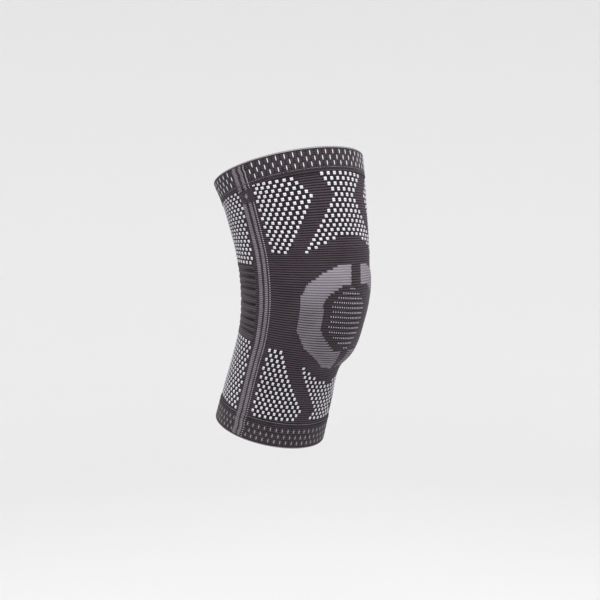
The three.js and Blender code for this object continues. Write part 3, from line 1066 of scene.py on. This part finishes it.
def face_lift(level):
    """Lift of the outer face under the bands, from cuff to cuff."""
    low, high = climb(CALF_SEAM, -SEAM_WIDTH), climb(THIGH_SEAM, SEAM_WIDTH)
    on_cuff = (level < low) | (level > high)
    from_seam = np.minimum(abs(level - CALF_SEAM), abs(level - THIGH_SEAM)) * 250
    on_tube = np.clip(1.0 * MM - from_seam * 0.4 * MM, 0.1 * MM, 1 * MM)
    return np.where(on_cuff, CUFF_PROUD + 0.25 * MM, on_tube)


def wander(level):
    """Small sideways waver of the bands where a cuff pinches them, in metres."""
    pinched = np.clip((np.abs(level - 0.5) - 0.42) * 20, 0, 1)
    return BAND_WAVER * np.sin(level * 150) * pinched


def make_band(name, side, side_name):
    band = BANDS[name]
    rows = int(float(pace(0.5)) / BAND_PITCH) * BAND_ROWS
    levels = np.linspace(0.004, 0.996, rows)[:, None]
    share = np.linspace(-0.5, 0.5, 9)[None, :]
    width = band["width"] * share + wander(levels)
    angles = side * (math.radians(band["angle"]) + turn(1.0, levels) * width)
    courses = course_at(levels) * BAND_COURSES
    crown = np.sqrt(np.clip(1 - (2 * np.abs(share)) ** 4, 0, 1))
    stitches = BAND_STITCH * np.cos(2 * np.pi * courses)
    outer = face_lift(levels) + (BAND_RISE + stitches) * crown
    inner = face_lift(levels) - BAND_SINK
    cloth = Cloth()
    add_patch(cloth, angles, levels, outer, inner, courses, width / BAND_WALE)
    node = f"{name}_{side_name}"
    return finish_piece(cloth, f"{node}_knit", BAND, "band_yarn", node)


def make_piping(side, side_name):
    levels = np.arange(0.005, 0.995, PIPING_PITCH / float(pace(0.5)))
    angles = side * (math.radians(PIPING_ANGLE) + turn(1.0, levels) * wander(levels))
    half_angles = turn(PIPING_STITCH["half_width"], levels)
    half_levels = PIPING_STITCH["half_height"] / pace(levels)
    lifts, rise = face_lift(levels)[:, None], PIPING_STITCH["rise"]
    cloth = Cloth()
    add_stitches(cloth, angles, levels, half_angles, half_levels, lifts, rise)
    node = f"piping_{side_name}"
    return finish_piece(cloth, f"{node}_stitches", PIPING, "piping_yarn", node)


def make_size_patch():
    top = float(climb(THIGH_SEAM, -PATCH_DROP))
    bottom = float(climb(top, -PATCH_HEIGHT))
    levels = np.linspace(bottom, top, 60)[:, None]
    share = np.linspace(-0.5, 0.5, 24)[None, :]
    angles = math.radians(PATCH_ANGLE) + turn(PATCH_WIDTH, levels) * share
    courses = course_at(levels) * 2
    outer = PATCH_LIFT + PATCH_RIB * np.cos(2 * np.pi * courses)
    cloth = Cloth()
    add_patch(cloth, angles, levels, outer, 0.0, courses)
    return finish_piece(cloth, "size_patch_knit", PATCH, "patch_knit", "size_patch")


# Half widths in millimetres of the rows of a small diamond, from the top down
MARK_ROWS = (0.5, 1.2, 1.9, 1.2, 0.5)
MARK_PITCH = 0.95 * MM
MARK_HALF_HEIGHT, MARK_RISE = 0.42 * MM, 0.2 * MM


def make_patch_mark():
    """A plain diamond in light yarn in the middle of the patch."""
    middle = climb(THIGH_SEAM, -PATCH_DROP - PATCH_HEIGHT / 2)
    half = np.array(MARK_ROWS) * MM
    levels = climb(middle, (len(half) // 2 - np.arange(len(half))) * MARK_PITCH)
    angles = np.full(len(half), math.radians(PATCH_ANGLE))
    half_angles, half_levels = turn(half, levels), MARK_HALF_HEIGHT / pace(levels)
    cloth = Cloth()
    add_stitches(cloth, angles, levels, half_angles, half_levels, PATCH_LIFT, MARK_RISE)
    return finish_piece(cloth, "size_patch_mark", EDGE, "edge_yarn")


# Gathered panel behind the knee

# Each crease: level, share of the depth, and reach in level
CREASES = [
    (0.589, 0.8, 0.0052),
    (0.570, 1.0, 0.0058),
    (0.550, 0.7, 0.0050),
    (0.533, 1.0, 0.0054),
    (0.509, 0.7, 0.0052),
    (0.482, 1.0, 0.0064),
    (0.452, 0.7, 0.0056),
    (0.428, 1.0, 0.0064),
    (0.401, 0.7, 0.0056),
    (0.380, 0.9, 0.0058),
]
CREASE_DEPTH = 1.6 * MM
# Creases waver round the leg: levels of the waver, waves to a turn, and its change by level
CREASE_WAVERS = [
    (0.0010, 6, 90),
    (0.0007, 13, 40),
]
# Creases are full at the panel's sides and fade over some degrees to a share behind the knee
CREASE_FADE = {"share": 0.35, "degrees": 24, "edge": 1.5}
BACK_LIFT, BACK_RIB, BACK_WALL = 0.3 * MM, 0.12 * MM, 0.2 * MM
BACK_INSET = {"degrees": 0.5, "level": 0.002}


def make_back_panel():
    rows, columns = 250, 110
    inset, start = BACK_INSET["level"], math.radians(BACK_START + BACK_INSET["degrees"])
    heights = np.linspace(BACK_BOTTOM + inset, BACK_TOP - inset, rows)
    around = np.linspace(start, 2 * math.pi - start, columns)
    angles, levels = np.meshgrid(around, heights)
    away = np.minimum(np.degrees(angles) - BACK_START, 360 - BACK_START - np.degrees(angles))
    share = CREASE_FADE["share"]
    fade = share + (1 - share) * np.exp(-((away / CREASE_FADE["degrees"]) ** 2))
    fade = fade * np.clip(away / CREASE_FADE["edge"], 0, 1)
    crease = np.zeros_like(angles)
    for level, depth, reach in CREASES:
        waver = sum(size * np.sin(angles * k + level * slip) for size, k, slip in CREASE_WAVERS)
        crease = np.maximum(crease, depth * np.exp(-(((levels - level - waver) / reach) ** 2)))
    dip = back_share(angles, levels)
    courses = course_at(levels)
    outer = BACK_LIFT - 0.1 * MM * dip + BACK_RIB * np.cos(2 * np.pi * courses)
    outer = outer - CREASE_DEPTH * crease * fade
    inner = np.minimum(outer - BACK_WALL, 0.1 * MM - 0.9 * BACK_DIP * dip)
    # painted shade: the creases take the gathered knit's darkest colour as deep as they fold
    tone = np.clip(crease * fade * 1.15, 0, 1)
    cloth = Cloth()
    add_patch(cloth, angles, levels, outer, inner, courses, tone=tone)
    return finish_piece(cloth, "gathered_knit", FOLD, "fold_knit", "back_of_knee_panel")


# Everything on the sleeve

sleeve = make_tube()
stitches = make_white_stitches()
rings = [make_ring(1, "lateral"), make_ring(-1, "medial")]
kneecap = make_kneecap_panel()
dashes = make_kneecap_dashes()
cuffs = {name: make_cuff(name, cuff) for name, cuff in CUFFS.items()}
for name, cuff in CUFFS.items():
    make_cuff_dashes(name, cuff)
    make_edge(name, cuff)
    make_seam(name, cuff)
for name, cuff in CUFFS.items():
    make_seam_stitches(name, cuff)
for side, side_name in ((1, "lateral"), (-1, "medial")):
    for band_name in BANDS:
        make_band(band_name, side, side_name)
    make_piping(side, side_name)
make_size_patch()
make_patch_mark()
back = make_back_panel()


# Stage, lights and camera

CAMERA_AZIMUTH = math.radians(42.74)
CAMERA_DISTANCE = 0.998
CAMERA_HEIGHT = 0.0934
CAMERA_PITCH = math.radians(5.584)
CAMERA_SHIFT_BACK = 0.0047
PICTURE_WIDTH = 0.6
SENSOR = 36
FOCAL = SENSOR * CAMERA_DISTANCE / PICTURE_WIDTH


def make_camera():
    back = Vector((-math.sin(CAMERA_AZIMUTH), -math.cos(CAMERA_AZIMUTH), 0))
    camera = bpy.data.objects.new("camera", bpy.data.cameras.new("camera"))
    bpy.context.scene.collection.objects.link(camera)
    camera.location = back * CAMERA_DISTANCE + Vector((0, CAMERA_SHIFT_BACK, CAMERA_HEIGHT))
    ahead = -back * math.cos(CAMERA_PITCH) - Vector((0, 0, math.sin(CAMERA_PITCH)))
    camera.rotation_euler = ahead.to_track_quat("-Z", "Y").to_euler()
    camera.data.sensor_width = SENSOR
    camera.data.lens = FOCAL
    bpy.context.scene.camera = camera


def plain_material(name, colour, roughness):
    graph = Graph(name)
    graph.shader.inputs["Base Color"].default_value = colour
    graph.shader.inputs["Roughness"].default_value = roughness
    return graph.material


BACKDROP = {"floor": -0.62, "flat": 1.6, "reach": 4.0, "rise": 2.6, "hoops": 24, "spokes": 64}


def make_backdrop():
    """Floor that curves up all round, a shallow bowl that looks the same from any side."""
    floor, flat, far = (BACKDROP[key] for key in ("floor", "flat", "reach"))
    hoops, spokes = BACKDROP["hoops"], BACKDROP["spokes"]
    points, faces = [(0, 0, floor)], []
    for hoop in range(1, hoops + 1):
        reach = far * hoop / hoops
        rise = BACKDROP["rise"] * smooth_step((reach - flat) / (far - flat)) ** 1.5
        for spoke in range(spokes):
            turned = 2 * math.pi * spoke / spokes
            place = (reach * math.cos(turned), reach * math.sin(turned), floor + float(rise))
            points.append(place)
    for spoke in range(spokes):
        after = (spoke + 1) % spokes
        faces.append((0, 1 + spoke, 1 + after))
        for hoop in range(hoops - 1):
            a, b = 1 + hoop * spokes, 1 + (hoop + 1) * spokes
            faces.append((a + spoke, b + spoke, b + after, a + after))
    mesh = bpy.data.meshes.new("backdrop")
    mesh.from_pydata(points, [], faces)
    mesh.shade_smooth()
    backdrop = bpy.data.objects.new("backdrop", mesh)
    bpy.context.scene.collection.objects.link(backdrop)
    mesh.materials.append(plain_material("pale backdrop", linear(236, 236, 236), 0.9))


WORLD_STRENGTH = 0.88
# Lights: azimuth and elevation in degrees, distance and size in metres, power in watts
LIGHTS = {
    "key": (45, 60, 1.5, 0.9, 18),
    "front": (20, 20, 1.6, 1.0, 6),
}


def add_light(name, azimuth, elevation, distance, size, power):
    data = bpy.data.lights.new(name, "AREA")
    data.energy = power
    data.shape = "DISK"
    data.size = size
    light = bpy.data.objects.new(name, data)
    bpy.context.scene.collection.objects.link(light)
    turned, raised = math.radians(azimuth), math.radians(elevation)
    level = math.cos(raised)
    away = Vector((-math.sin(turned) * level, -math.cos(turned) * level, math.sin(raised)))
    light.location = away * distance
    light.rotation_euler = (-away).to_track_quat("-Z", "Y").to_euler()


def light_scene():
    world = bpy.data.worlds.new("studio")
    bpy.context.scene.world = world
    world.use_nodes = True
    background = world.node_tree.nodes["Background"]
    background.inputs["Color"].default_value = (1, 1, 1, 1)
    background.inputs["Strength"].default_value = WORLD_STRENGTH
    for name, settings in LIGHTS.items():
        add_light(name, *settings)
    bpy.context.scene.view_settings.view_transform = "Standard"


make_camera()
make_backdrop()
light_scene()
